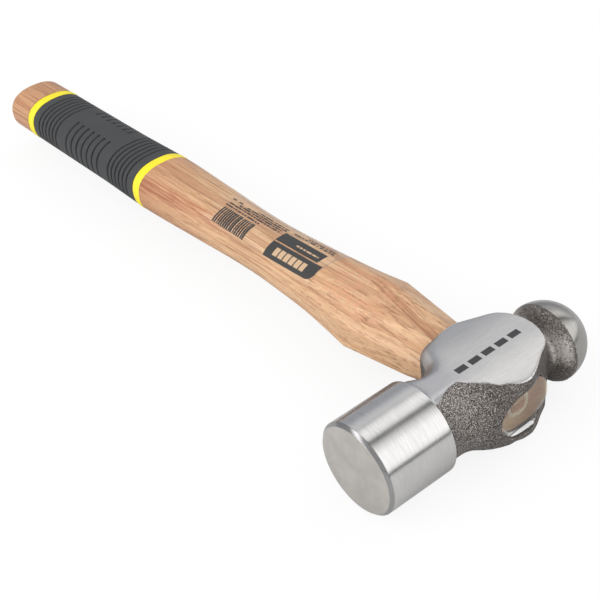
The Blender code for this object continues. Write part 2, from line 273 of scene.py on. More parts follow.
def along(points, place):
    """A smooth curve through points of (place, value, ...), read at one place, that never overshoots them."""
    points = sorted(tuple(point) for point in points)
    place = min(max(place, points[0][0]), points[-1][0])
    index = 0
    while index < len(points) - 2 and place > points[index + 1][0]:
        index += 1
    start, end = points[index], points[index + 1]
    before = points[max(index - 1, 0)]
    after = points[min(index + 2, len(points) - 1)]
    step = end[0] - start[0]
    t = (place - start[0]) / step
    values = []
    for k in range(1, len(start)):
        rise = (end[k] - start[k]) / step
        rise_in = (start[k] - before[k]) / (start[0] - before[0]) if before is not start else rise
        rise_out = (after[k] - end[k]) / (after[0] - end[0]) if after is not end else rise
        slope_in = 2.0 * rise * rise_in / (rise + rise_in) if rise * rise_in > 0.0 else 0.0
        slope_out = 2.0 * rise * rise_out / (rise + rise_out) if rise * rise_out > 0.0 else 0.0
        values.append(
            start[k] * (1.0 + 2.0 * t) * (1.0 - t) ** 2
            + end[k] * t * t * (3.0 - 2.0 * t)
            + step * (slope_in * t * (1.0 - t) ** 2 - slope_out * t * t * (1.0 - t))
        )
    return values


def places(start, end, step):
    """Evenly spaced numbers from start to end, both included, about a step apart."""
    count = max(1, round(abs(end - start) / step))
    return list(np.linspace(start, end, count + 1))


def turns(count):
    return 2.0 * np.pi * (np.arange(count) + 0.5) / count


def mesh_object(name, points, faces):
    mesh = bpy.data.meshes.new(name)
    mesh.from_pydata([tuple(point) for point in points], [], faces)
    mesh.shade_smooth()
    made = bpy.data.objects.new(name, mesh)
    bpy.context.scene.collection.objects.link(made)
    return made


def shell(name, points, faces):
    """A closed mesh with its doubled points merged and its faces turned outwards."""
    made = mesh_object(name, points, faces)
    shape = bmesh.new()
    shape.from_mesh(made.data)
    bmesh.ops.remove_doubles(shape, verts=shape.verts, dist=1e-7)
    bmesh.ops.recalc_face_normals(shape, faces=shape.faces)
    shape.to_mesh(made.data)
    shape.free()
    return made


def skin(count, rings, joined=False):
    """Faces between neighbouring rings of count points; joined rings also close the last onto the first."""
    faces = []
    pairs = [(k, k + 1) for k in range(rings - 1)]
    if joined:
        pairs.append((rings - 1, 0))
    for first, second in pairs:
        for i in range(count):
            j = (i + 1) % count
            faces.append((first * count + i, first * count + j, second * count + j, second * count + i))
    return faces


def lofted(name, rings):
    """A closed shell through rings of points, with a fan to the middle of the first ring and of the last."""
    rings = [np.asarray(ring) for ring in rings]
    count = len(rings[0])
    faces = skin(count, len(rings))
    start_middle, end_middle = len(rings) * count, len(rings) * count + 1
    last = (len(rings) - 1) * count
    for i in range(count):
        j = (i + 1) % count
        faces.append((start_middle, i, j))
        faces.append((end_middle, last + i, last + j))
    points = np.vstack(rings + [rings[0].mean(0), rings[-1].mean(0)])
    return shell(name, points, faces)


def tubular(name, rings):
    """A closed tube through rings that run down its outside and back up its bore."""
    count = len(rings[0])
    return shell(name, np.vstack(rings), skin(count, len(rings), joined=True))


def cut(target, cutter):
    """Takes the cutter's shape out of the target's mesh, and removes the cutter."""
    boolean = target.modifiers.new("cut", "BOOLEAN")
    boolean.operation = "DIFFERENCE"
    boolean.solver = "MANIFOLD"
    boolean.object = cutter
    apply_modifiers(target)
    bpy.data.objects.remove(cutter)


def apply_modifiers(obj):
    graph = bpy.context.evaluated_depsgraph_get()
    final = bpy.data.meshes.new_from_object(obj.evaluated_get(graph))
    obj.modifiers.clear()
    obj.data = final


def shade(obj, degrees):
    """Smooth shading, with edges sharper than this angle kept crisp."""
    obj.data.shade_smooth()
    obj.data.set_sharp_from_angle(angle=math.radians(degrees))


# ---- head


def cheek_height(x):
    beyond_land = np.clip(np.abs(x), CHEEK_LAND, BODY_HALF_WIDTH) - CHEEK_LAND
    return CHEEK_HEIGHT - beyond_land**2 / (2.0 * CHEEK_CROWN_RADIUS)


def cheek_half_width(y):
    disc = math.sqrt(max(CHEEK_DISC_RADIUS**2 - (y - CHEEK_DISC_Y) ** 2, 0.0))
    if y > CHEEK_DISC_Y:
        return disc
    flank = CHEEK_STRIP + CHEEK_FLANK_SLOPE * (y - CHEEK_FLANK_START)
    return smooth_max(CHEEK_STRIP, smooth_min(disc, flank, CHEEK_BLEND), CHEEK_BLEND)


def body_section(y):
    """(half width, half height, squareness) of the forging at y."""
    half_width = along(BODY_OUTLINE, y)[0]
    opening = ease((y - ROUND_NECK_Y) / (SQUARE_FROM_Y - ROUND_NECK_Y))
    closing = ease((BALL_NECK_Y - y) / (BALL_NECK_Y - SQUARE_TO_Y))
    squareness = 2.0 + (BODY_SQUARENESS - 2.0) * opening * closing
    if y > BODY_END_Y:
        fall = min((y - BODY_END_Y) / (BALL_NECK_Y - BODY_END_Y), 1.0)
        half_height = BALL_NECK_RADIUS + (CHEEK_HEIGHT - BALL_NECK_RADIUS) * (1.0 - fall) ** 1.5
        return half_width, half_height, squareness
    edge = max(smooth_min(cheek_half_width(y), 0.975 * half_width, 0.8 * MM), 0.0)
    half_height = cheek_height(edge) / (1.0 - (edge / half_width) ** squareness) ** (1.0 / squareness)
    return half_width, max(half_height, CHEEK_HEIGHT + 0.15 * MM), squareness


def side_share(y, x):
    """The forging's half width where x is negative, as a share of that where it is positive."""
    hollow = SIDE_HOLLOW * swell(y, *SIDE_HOLLOW_SPAN)
    full = SIDE_FULLNESS * swell(y, *SIDE_FULLNESS_SPAN)
    return np.where(x < 0.0, 1.0 - hollow + full, 1.0)


def body_radii(y, angles):
    """Distance from the head's axis to the body's surface, angle 0 towards +X."""
    half_width, half_height, power = body_section(y)
    half_width = half_width * side_share(y, np.cos(angles))
    across, up = np.abs(np.cos(angles)), np.abs(np.sin(angles))
    forged = squircle(across / half_width, up / half_height, power)
    ground = forged
    for _ in range(4):
        ground = cheek_height(ground * across) / np.maximum(up, 0.05)
    return smooth_min(forged, ground, CHEEK_EDGE_ROUND)


def ball_radius(y):
    """Radius of the ball's rough flank at y, up to its rim."""
    back = min((BALL_RIM_Y - y) / BALL_FLANK_LENGTH, 1.0)
    return BALL_RIM_RADIUS * math.sqrt(1.0 - back * back)


def head_ring(y, radii):
    angles = turns(HEAD_AROUND)
    radii = np.broadcast_to(radii, angles.shape)
    return np.column_stack([radii * np.cos(angles), np.full(HEAD_AROUND, y), radii * np.sin(angles)])


def poll_rings():
    flat = POLL_RADIUS - FACE_CHAMFER
    rings = [head_ring(0.0, radius) for radius in places(0.6 * MM, flat - 0.3 * MM, 1.2 * MM)]
    corner = 0.15 * MM
    outline = [
        (0.0, flat - corner),
        (0.3 * corner, flat),
        (corner, flat + corner),
        (FACE_CHAMFER - corner, POLL_RADIUS - corner),
        (FACE_CHAMFER, POLL_RADIUS - 0.3 * corner),
        (FACE_CHAMFER + corner, POLL_RADIUS),
    ]
    rings += [head_ring(y, radius) for y, radius in outline]
    side_end = POLL_LENGTH - POLL_REAR_ROUND
    rings += [head_ring(y, POLL_RADIUS) for y in places(FACE_CHAMFER + 0.5 * MM, side_end, 0.8 * MM)]
    for degrees in (20, 40, 60, 80):
        turn = math.radians(degrees)
        y = side_end + POLL_REAR_ROUND * math.sin(turn)
        rings.append(head_ring(y, POLL_RADIUS - POLL_REAR_ROUND * (1.0 - math.cos(turn))))
    return rings


def neck_rings():
    """The step down from the poll's back to the neck, as a tight hollow."""
    rings = []
    start_radius = POLL_RADIUS - POLL_REAR_ROUND
    for share in np.linspace(0.0, 1.0, 18):
        y = POLL_LENGTH + (NECK_START_Y - POLL_LENGTH) * share**1.7
        neck = body_radii(y, turns(HEAD_AROUND))
        hollow = (1.0 - share) ** 2.6
        rings.append(head_ring(y, neck + (start_radius - neck) * hollow))
    return rings


def body_rings():
    angles = turns(HEAD_AROUND)
    rings = [head_ring(y, body_radii(y, angles)) for y in places(NECK_START_Y, BODY_END_Y, 0.36 * MM)[1:]]
    for y in places(BODY_END_Y, BALL_RIM_Y, 0.3 * MM)[1:-1]:
        radii = smooth_max(body_radii(y, angles), ball_radius(y), 1.2 * MM)
        rings.append(head_ring(y, radii))
    return rings


def ball_rings():
    rings = []
    dome_length = HEAD_LENGTH - BALL_RIM_Y
    for degrees in np.linspace(0.0, 88.0, 46):
        turn = math.radians(degrees)
        rings.append(head_ring(BALL_RIM_Y + dome_length * math.sin(turn), BALL_RIM_RADIUS * math.cos(turn)))
    return rings


def body_face_x(y, z, side):
    """How far out along X the forging's surface is at (y, z), on the side 1 or -1."""
    half_width, half_height, power = body_section(y)
    height_share = min(abs(z) / half_height, 0.98)
    return half_width * float(side_share(y, side)) * (1.0 - height_share**power) ** (1.0 / power)


def eye_size(x):
    """(half length, half height) of the eye at x."""
    return along(EYE_SECTIONS, x)


def oval(half_length, half_height):
    """(y, z) points of the eye's oval section about the handle's axis."""
    angles = turns(EYE_AROUND)
    c, s = np.cos(angles), np.sin(angles)
    y = EYE_Y + half_length * np.sign(c) * np.abs(c) ** (2.0 / OVAL_POWER)
    z = half_height * np.sign(s) * np.abs(s) ** (2.0 / OVAL_POWER)
    return y, z


def eye_mouth_ring(side, depth):
    """A ring of the eye's cutter at one depth under the forging's surface, flared into a round rim."""
    held = min(max(depth, 0.0), EYE_RIM_ROUND)
    flare = EYE_RIM_ROUND - math.sqrt(EYE_RIM_ROUND**2 - (0.85 * (EYE_RIM_ROUND - held)) ** 2)
    flare += 1.6 * max(-depth, 0.0)
    half_length, half_height = eye_size(side * 0.9 * BODY_HALF_WIDTH)
    y, z = oval(half_length, half_height)
    x = np.array([side * (body_face_x(one_y, one_z, side) - depth) for one_y, one_z in zip(y, z)])
    sizes = np.array([eye_size(one_x) for one_x in x])
    y, z = oval(sizes[:, 0] + flare, sizes[:, 1] + flare)
    return np.column_stack([x, y, z])


def eye_cutter():
    depths = (-1.5 * MM, 0.0, 0.1 * MM, 0.25 * MM, 0.45 * MM, 0.7 * MM, 1.0 * MM)
    outside = 1.25 * BODY_HALF_WIDTH
    rings = [eye_mouth_ring(-1, depth) for depth in depths]
    rings.insert(0, rings[0] * (0.0, 1.0, 1.0) + (-outside, 0.0, 0.0))
    for x in places(-12 * MM, 12 * MM, 4 * MM):
        y, z = oval(*eye_size(x))
        rings.append(np.column_stack([np.full(len(y), x), y, z]))
    rings += [eye_mouth_ring(1, depth) for depth in reversed(depths)]
    rings.append(rings[-1] * (0.0, 1.0, 1.0) + (outside, 0.0, 0.0))
    return lofted("eye_cutter", rings)


def mesh_points(mesh, kind="co"):
    """The vertices' places, or their normals, as rows of an array."""
    values = np.empty(len(mesh.vertices) * 3, np.float32)
    mesh.vertices.foreach_get(kind, values)
    return values.reshape(-1, 3).astype(float)


def ground_depths(points):
    """How far inside a machined surface each point of the head lies, in mm: below 0 the skin is as forged."""
    x, y, z = points.T
    stations = np.array(places(POLL_LENGTH, BALL_NECK_Y, 0.2 * MM))
    sections = np.array([body_section(station) for station in stations])
    half_width, half_height, power = [np.interp(y, stations, sections[:, k]) for k in range(3)]
    half_width = half_width * side_share(y, x)
    inwards = np.clip(1.0 - np.minimum(np.abs(x) / half_width, 1.0) ** power, 0.0, 1.0)
    forged = half_height * inwards ** (1.0 / power)
    under = cheek_height(x) - np.abs(z)
    blended_neck = NECK_POLISH * (1.0 - ease((y - POLL_LENGTH) / (10.0 * MM)))
    blended_neck += SIDE_POLISH * ease(-x / (6.0 * MM)) * (1.0 - ease((y - 53.0 * MM) / (10.0 * MM)))
    in_eye = (np.abs(y - EYE_Y) < EYE_SECTIONS[0][1]) & (under > 0.6 * MM) & (x > 0.0)
    on_body = (y > stations[0]) & (y < stations[-1]) & ~in_eye
    cheek = np.where(on_body, forged - cheek_height(x) + blended_neck, -5.0 * MM)
    poll = POLL_LENGTH + 0.3 * MM - y
    ball = y - BALL_RIM_Y - 0.6 * MM
    return np.maximum(np.maximum(poll, ball), cheek) / MM


def roughen_forging(mesh, points, depths):
    """Moves the as-forged skin in and out a little, as hammer scale and die wear leave it."""
    broad = np.array([noise.noise(Vector(point) * 110.0) for point in points])
    fine = np.array([noise.noise(Vector(point) * 420.0) for point in points])
    inwards = ease(-depths / 0.8) * (FORGED_SINK + FORGED_BROAD * broad + FORGED_FINE * fine)
    moved = points - mesh_points(mesh, "normal") * inwards[:, None]
    mesh.vertices.foreach_set("co", moved.astype(np.float32).ravel())


def make_head():
    head = lofted("hammer_head_forging", poll_rings() + neck_rings() + body_rings() + ball_rings())
    cut(head, eye_cutter())
    points = mesh_points(head.data)
    depths = ground_depths(points)
    roughen_forging(head.data, points, depths)
    head.data.attributes.new("ground", "FLOAT", "POINT").data.foreach_set("value", depths.astype(np.float32))
    shade(head, 40)
    finish_piece(head, steel_material(), "hammer_head")


# ---- handle


def handle_size(x):
    """(half width along Y, half thickness along Z) of the handle at x, tenon included."""
    if x < SHOULDER_X:
        return along(HANDLE_PROFILE, x)
    if x < HEAD_END_X:
        share = (x - SHOULDER_X) / (HEAD_END_X - SHOULDER_X)
        shoulder = (SHOULDER_HALF_WIDTH, SHOULDER_HALF_THICKNESS)
        return [shoulder[k] + (HEAD_END[k] - shoulder[k]) * share for k in (0, 1)]
    return [size - TENON_GAP for size in eye_size(x)]


def handle_radii(x, angles):
    """Distance from the handle's axis to its surface, angle 0 towards +Y and a quarter turn towards +Z."""
    half_width, half_thickness = handle_size(x)
    across = np.abs(np.cos(angles)) / half_width
    up = np.abs(np.sin(angles)) / half_thickness
    oval_radii = squircle(across, up, OVAL_POWER)
    if x > FACET_END_X or x < FACET_FADE_X:
        return oval_radii
    corners = (across + up) / FACET_REACH
    faceted = (across**FACET_POWER + up**FACET_POWER + corners**FACET_POWER) ** (-1.0 / FACET_POWER)
    fade_in = ease((x - FACET_FADE_X) / (SHOULDER_X - FACET_FADE_X))
    fade_out = ease((FACET_END_X - x) / FACET_END_LENGTH)
    return oval_radii + (faceted - oval_radii) * fade_in * fade_out


def polar_ring(x, radii, angles, y=EYE_Y, z=0.0):
    """A ring of points at x, about an axis that runs along X through (y, z)."""
    return np.column_stack([np.full(len(angles), x), y + radii * np.cos(angles), z + radii * np.sin(angles)])


def handle_ring(x, inset=0.0, angles=None):
    """A ring round the handle at x, sunk by the inset under the wood's full surface."""
    if angles is None:
        angles = turns(HANDLE_AROUND)
    return polar_ring(x, handle_radii(x, angles) - inset, angles)


def chipped(ring):
    """Small splinters missing from the wood where the head was driven on."""
    x = ring[0][0]
    near = math.exp(-(((x - CHIPS_X) / CHIPS_SPREAD) ** 2))
    if near < 0.02:
        return ring
    for point in ring:
        torn = noise.noise(Vector(point) * 420.0) + 0.5 * noise.noise(Vector(point) * 900.0)
        inwards = CHIP_DEPTH * near * max(torn, 0.0)
        reach = math.hypot(point[1] - EYE_Y, point[2])
        point[1] -= (point[1] - EYE_Y) / reach * inwards
        point[2] -= point[2] / reach * inwards
    return ring


def tenon_end_rings():
    """Rings across the tenon's end face, from its middle out to its edge."""
    angles = turns(HANDLE_AROUND)
    radii = handle_radii(TENON_END_X, angles)
    return [polar_ring(TENON_END_X, radii * share, angles) for share in (0.05, 0.2, 0.4, 0.6, 0.8, 0.95)]


def make_handle():
    recess_start = FRONT_BAND_HIGH.x + 0.2 * MM
    recess_end = REAR_BAND_LOW.x - 0.2 * MM
    recess = GRIP_RECESS - 0.1 * MM
    butt_start = BUTT_X + BUTT_ROUND
    rings = tenon_end_rings()
    rings += [handle_ring(x) for x in places(TENON_END_X, HEAD_END_X, 2.5 * MM)]
    rings += [chipped(handle_ring(x)) for x in places(HEAD_END_X - 0.5 * MM, -26 * MM, 0.35 * MM)]
    rings += [handle_ring(x) for x in places(-27 * MM, SHOULDER_X, 1.1 * MM)]
    rings += [handle_ring(x) for x in places(SHOULDER_X, recess_start, 1.0 * MM)[1:]]
    rings += [handle_ring(x, recess) for x in places(recess_start, recess_end, 4 * MM)]
    rings += [handle_ring(x) for x in places(recess_end, butt_start, 1.2 * MM)]
    for degrees in range(6, 91, 7):
        turn = math.radians(degrees)
        inset = BUTT_ROUND * (1.0 - math.cos(turn))
        rings.append(handle_ring(butt_start - BUTT_ROUND * math.sin(turn), inset))
    rings += [handle_ring(BUTT_X, inset) for inset in (6 * MM, 8 * MM, 10 * MM)]
    handle = lofted("ash_handle", rings)
    cut(handle, wedge_shape("kerf_cutter", 0.05 * MM, 3 * MM))
    cut(handle, ring_shape("ring_cutter", 0.05 * MM, 3 * MM))
    shade(handle, 50)
    finish_piece(handle, handle_wood_material(), "handle")


def wedge_shape(name, margin=0.0, extra=0.0):
    """The flat wooden wedge, thick at the tenon's end and thin at its point."""
    end_x = TENON_END_X + extra
    low_x = WEDGE_LOW.x - margin
    half_length = 0.5 * (WEDGE_HIGH.y - WEDGE_LOW.y) + margin
    thick = 0.5 * (WEDGE_HIGH.z - WEDGE_LOW.z)
    corner = 0.35
    rings = []
    for x in places(low_x, end_x, 2 * MM):
        half = thick * (0.4 + 0.6 * (x - WEDGE_LOW.x) / (TENON_END_X - WEDGE_LOW.x)) + margin
        outline = []
        for side, up in ((-1, -1), (1, -1), (1, 1), (-1, 1)):
            first = (side * (half_length - corner * MM), up * half)
            second = (side * half_length, up * (half - 0.6 * corner * MM))
            outline += [second, first] if side * up > 0 else [first, second]
        rings.append(np.array([(x, EYE_Y + y, z) for y, z in outline]))
    return lofted(name, rings)


def ring_shape(name, margin=0.0, extra=0.0):
    """The round tube driven into the tenon's end, its outer lip rounded over."""
    centre = 0.5 * (RING_LOW + RING_HIGH)
    radius = 0.5 * (RING_HIGH.y - RING_LOW.y) + margin
    bore = radius - RING_WALL - 2.0 * margin
    low_x = RING_LOW.x - margin
    high_x = RING_HIGH.x + RING_PROUD + extra
    lip = 0.0 if extra else RING_LIP
    outline = [(low_x, radius), (high_x - lip, radius)]
    middle = 0.5 * (radius + bore)
    for degrees in range(15, 180, 15):
        turn = math.radians(degrees)
        outline.append((high_x - lip + lip * math.sin(turn), middle + (radius - middle) * math.cos(turn)))
    outline += [(high_x - lip, bore), (low_x, bore)]
    angles = turns(96)
    return tubular(name, [polar_ring(x, reach, angles, centre.y, centre.z) for x, reach in outline])


def make_wedges():
    wedge = wedge_shape("eye_wedge_wood", 0.0, 0.12 * MM)
    cut(wedge, ring_shape("ring_cutter", 0.05 * MM, 3 * MM))
    shade(wedge, 30)
    finish_piece(wedge, wedge_material(), "eye_wedge")
    ring = ring_shape("ring_wedge_steel")
    shade(ring, 50)
    finish_piece(ring, ring_material(), "ring_wedge")


def make_sealant():
    """The clear coat poured into the eye: level in the middle, and drawn up the walls that stand above it."""
    level = SEALANT_HIGH.x - 0.15 * MM
    bottom = TENON_END_X + 0.32 * MM
    shares = [0.05, 0.15, 0.3, 0.45, 0.6, 0.7, 0.78, 0.84, 0.89, 0.93, 0.96, 0.985, 1.0]

    def ring(share, height):
        half_length, half_height = eye_size(level)
        y, z = oval(share * (half_length - 0.05 * MM), share * (half_height - 0.05 * MM))
        x = np.array([height(one_y, one_z, share) for one_y, one_z in zip(y, z)])
        return np.column_stack([x, y, z])

    def top(y, z, share):
        wall = ease((body_face_x(y, z, 1) - level) / (1.5 * MM))
        off_wall = (1.0 - share) * 11.0 * MM
        spread = 0.7 * MM + 1.5 * MM * ease(-z / (6.0 * MM))
        headroom = max(body_face_x(y, z, 1) - level - 0.6 * MM, 0.0)
        climb = min((0.5 * MM + 0.75 * spread) * wall, headroom) * math.exp(-off_wall / spread)
        droop = 0.6 * MM * math.exp(-off_wall / (0.9 * MM)) * (1.0 - wall)
        ripple = 0.10 * MM * noise.noise(Vector((y, z, 0.0)) * 190.0)
        return level + climb - droop + ripple

    rings = [ring(share, lambda y, z, s: bottom) for share in shares]
    rings += [ring(share, top) for share in reversed(shares)]
    sealant = lofted("eye_resin", rings)
    shade(sealant, 60)
    finish_piece(sealant, resin_material(), "eye_sealant")


# ---- grip


def groove_profile(distance):
    """0 outside a groove and 1 at its bottom, for a distance from its centre line."""
    held = np.clip(distance / GROOVE_HALF_WIDTH, 0.0, 1.0)
    return (1.0 - held**2) ** 1.3


def sleeve_depth(x, angles):
    """How deep the grooves cut at x: round ones near both ends, and short ones on each side between them."""
    depth = np.zeros_like(angles)
    front, rear = SLEEVE_HIGH.x, SLEEVE_LOW.x
    for i in range(ROUND_GROOVE_COUNT):
        reach = LIP_LENGTH + i * ROUND_GROOVE_PITCH
        for centre in (front - reach, rear + reach):
            depth = np.maximum(depth, groove_profile(abs(x - centre)))
    from_side = np.arcsin(np.abs(np.sin(angles)))
    past_end = np.maximum(from_side - SIDE_GROOVE_END, 0.0) * SLEEVE_HIGH.z
    near_end = np.exp(-(((from_side - SIDE_GROOVE_END) * SLEEVE_HIGH.z / (0.9 * MM)) ** 2))
    middle = 0.5 * (front + rear)
    for i in range(SIDE_GROOVE_COUNT):
        centre = middle + (i - 0.5 * (SIDE_GROOVE_COUNT - 1)) * SIDE_GROOVE_PITCH
        distance = np.hypot(x - centre, past_end) / (1.0 + 0.45 * near_end)
        depth = np.maximum(depth, groove_profile(distance))
    return depth * GROOVE_DEPTH


def make_sleeve():
    """The rubber sleeve. Its groove attribute is 0 on the surface and 1 at a groove's bottom."""
    angles = turns(GRIP_AROUND)
    front, rear = SLEEVE_HIGH.x, SLEEVE_LOW.x
    edge = 0.4 * MM

    def edge_rings(end_x, inwards):
        """Rings round the soft edge at one end, from its end face outwards."""
        made = []
        for degrees in (0, 30, 60):
            turn = math.radians(degrees)
            x = end_x + inwards * edge * (1.0 - math.cos(turn))
            made.append(handle_ring(x, edge * (1.0 - math.sin(turn)), angles))
        return made

    rings = edge_rings(front, -1)
    shades = [np.zeros(len(angles))] * len(rings)
    for x in places(front - edge, rear + edge, 0.245 * MM):
        depth = sleeve_depth(x, angles)
        rings.append(handle_ring(x, depth, angles))
        shades.append(depth / GROOVE_DEPTH)
    rings += reversed(edge_rings(rear, 1))
    bore = GRIP_RECESS - 0.05 * MM
    rings += [handle_ring(x, bore, angles) for x in places(rear, front, 12 * MM)]
    sleeve = tubular("rubber_sleeve", rings)
    shades = np.concatenate(shades + [np.zeros(len(angles))] * (len(rings) - len(shades)))
    sleeve.data.attributes.new("groove", "FLOAT", "POINT").data.foreach_set("value", shades)
    shade(sleeve, 60)
    finish_piece(sleeve, rubber_material(), "grip_sleeve")


def make_band(node):
    """A moulded ring with a crowned outer face and soft edges."""
    low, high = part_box(node)
    middle = 0.5 * (low.x + high.x)
    half = 0.5 * (high.x - low.x)
    rings = []
    for share in np.linspace(1.0, -1.0, 17):
        crown = BAND_CROWN * (1.0 - abs(share) ** 4)
        rings.append(handle_ring(middle + half * share, 0.12 * MM - crown))
    bore = GRIP_RECESS - 0.05 * MM
    rings += [handle_ring(x, bore) for x in (low.x, high.x)]
    band = tubular(node + "_ring", rings)
    shade(band, 50)
    finish_piece(band, yellow_material(node), node)


# ---- printed film


def make_film():
    """The printed film, a thin skin over the waist.

    Its UV map holds mm from its front edge and mm round from the top.
    """
    angles = np.linspace(FILM_FIRST_ANGLE, FILM_LAST_ANGLE, 97)
    stations = places(FILM_HIGH.x, FILM_LOW.x, 1.0 * MM)
    points, charts = [], []
    for lift in (FILM_LIFT, FILM_LIFT + FILM_THICKNESS):
        for x in stations:
            ring = handle_ring(x, -lift, angles)
            steps = np.linalg.norm(np.diff(ring, axis=0), axis=1)
            reach = np.concatenate([[0.0], np.cumsum(steps)])
            reach -= np.interp(0.5 * math.pi, angles, reach)
            points.append(ring)
            charts.append(np.column_stack([np.full(len(angles), FILM_HIGH.x - x), reach]) / MM)
    points, charts = np.vstack(points), np.vstack(charts)
    wide, long = len(angles), len(stations)
    layer = wide * long
    faces = []
    for i in range(long - 1):
        for j in range(wide - 1):
            low = i * wide + j
            faces.append((low, low + 1, low + wide + 1, low + wide))
            faces.append((layer + low, layer + low + wide, layer + low + wide + 1, layer + low + 1))
    border = list(range(wide))
    border += [i * wide + wide - 1 for i in range(1, long)]
    border += [(long - 1) * wide + j for j in range(wide - 2, -1, -1)]
    border += [i * wide for i in range(long - 2, 0, -1)]
    for first, second in zip(border, border[1:] + border[:1]):
        faces.append((first, second, layer + second, layer + first))
    film = mesh_object("printed_film", points, faces)
    chart = film.data.uv_layers.new(name="label")
    for loop in film.data.loops:
        chart.data[loop.index].uv = charts[loop.vertex_index]
    finish_piece(film, film_material(), "label_film")


# ---- materials


class Nodes:
    """Short calls for wiring the node tree of a material or a world. Most return an output socket."""

    def __init__(self, owner):
        owner.use_nodes = True
        self.owner = owner
        self.tree = owner.node_tree
        self.tree.nodes.clear()

    def add_node(self, kind, inputs=None, **settings):
        """Adds a node with these settings and inputs, and returns the node itself."""
        made = self.tree.nodes.new("ShaderNode" + kind)
        for key, value in settings.items():
            setattr(made, key, value)
        for key, value in (inputs or {}).items():
            self.feed(made.inputs[key], value)
        return made

    def node(self, kind, inputs=None, output=0, **settings):
        """Adds a node, and returns one of its outputs."""
        return self.add_node(kind, inputs, **settings).outputs[output]

    def feed(self, socket, value):
        if isinstance(value, bpy.types.NodeSocket):
            self.tree.links.new(value, socket)
        else:
            socket.default_value = value

    def math(self, operation, first, second=0.0):
        return self.node("Math", {0: first, 1: second}, operation=operation)

    def add(self, total, *others):
        for other in others:
            total = self.math("ADD", total, other)
        return total

    def times(self, product, *others):
        for other in others:
            product = self.math("MULTIPLY", product, other)
        return product

    def step(self, value, low, high):
        """0 below low, 1 above high and an easy slope between; it falls instead if low is above high."""
        rising = low < high
        ends = {"Value": value, "From Min": min(low, high), "From Max": max(low, high)}
        ends["To Min"] = 0.0 if rising else 1.0
        ends["To Max"] = 1.0 if rising else 0.0
        return self.node("MapRange", ends, interpolation_type="SMOOTHSTEP")

    def within(self, value, low, high, soft):
        """1 between low and high, easing to 0 over the soft distance."""
        below_high = self.step(value, high + soft, high - soft)
        return self.times(self.step(value, low - soft, low + soft), below_high)

    def mix(self, share, first, second, mode="MIX"):
        """A colour between two colours, or the second laid over the first in another mode."""
        inputs = {"Factor": share, 6: first, 7: second}
        return self.node("Mix", inputs, data_type="RGBA", blend_type=mode, output=2)

    def darken(self, share, colour, filter_colour):
        """A colour multiplied by a filter's, as far as the share says."""
        return self.mix(share, colour, filter_colour, "MULTIPLY")

    def ramp(self, value, stops):
        """A colour read from (place, colour) stops."""
        made = self.add_node("ValToRGB", {"Fac": value})
        elements = made.color_ramp.elements
        while len(elements) < len(stops):
            elements.new(0.5)
        for element, (place, colour) in zip(elements, stops):
            element.position = place
            element.color = colour
        return made.outputs[0]

    def scaled(self, vector, scale, offset=(0.0, 0.0, 0.0)):
        inputs = {"Vector": vector, "Scale": scale, "Location": offset}
        return self.node("Mapping", inputs)

    def noise(self, vector, scale, detail=2.0, roughness=0.5, distortion=0.0):
        inputs = {"Vector": vector, "Scale": scale, "Detail": detail, "Roughness": roughness}
        inputs["Distortion"] = distortion
        return self.node("TexNoise", inputs, output="Fac")

    def drift(self, vector, scale, reach):
        """A small random shift in every direction, up to about half the reach."""
        shift = self.node("TexNoise", {"Vector": vector, "Scale": scale}, output="Color")
        inputs = {0: shift, 1: (-0.5, -0.5, -0.5)}
        centred = self.node("VectorMath", inputs, operation="ADD")
        inputs = {0: centred, "Scale": 2.0 * reach}
        return self.node("VectorMath", inputs, operation="SCALE")

    def dash_row(self, value, low, high, pitch, length):
        """1 inside evenly spaced dashes between low and high."""
        start = self.math("FLOORED_MODULO", self.add(value, -low), pitch)
        return self.times(self.within(value, low, high, 0.1 * MM), self.within(start, 0.0, length, 0.12 * MM))

    def place(self):
        """The point being shaded, in the row frame, in metres."""
        return self.node("TexCoord", output="Object")

    def split(self, vector):
        return self.add_node("SeparateXYZ", {0: vector}).outputs

    def join(self, x, y, z):
        return self.node("CombineXYZ", {0: x, 1: y, 2: z})

    def bump(self, height, distance, strength):
        inputs = {"Height": height, "Distance": distance, "Strength": strength}
        return self.node("Bump", inputs)

    def surface(self, **inputs):
        """A Principled BSDF; keys name its inputs, with _ for a space."""
        named = {key.replace("_", " "): value for key, value in inputs.items()}
        return self.node("BsdfPrincipled", named)

    def shine(self, ior, strength):
        """How much the outer side of a clear skin mirrors; its inner side doesn't."""
        fresnel = self.node("Fresnel", {"IOR": ior})
        outside = self.add(1.0, self.times(self.node("NewGeometry", output="Backfacing"), -1.0))
        return self.times(fresnel, strength, outside)

    def mix_shader(self, share, first, second):
        return self.node("MixShader", {0: share, 1: first, 2: second})

    def finish(self, shader, kind="OutputMaterial"):
        """Ends the tree with this shader, and returns its material or world."""
        self.add_node(kind, {"Surface": shader})
        return self.owner


def new_material(name):
    return Nodes(bpy.data.materials.new(name))


def srgb(red, green, blue):
    """A screen colour from 0 to 255 as a linear RGBA colour."""
    channels = []
    for value in (red, green, blue):
        share = value / 255.0
        channels.append(share / 12.92 if share <= 0.04045 else ((share + 0.055) / 1.055) ** 2.4)
    return (*channels, 1.0)


def grey(value):
    return (value, value, value, 1.0)


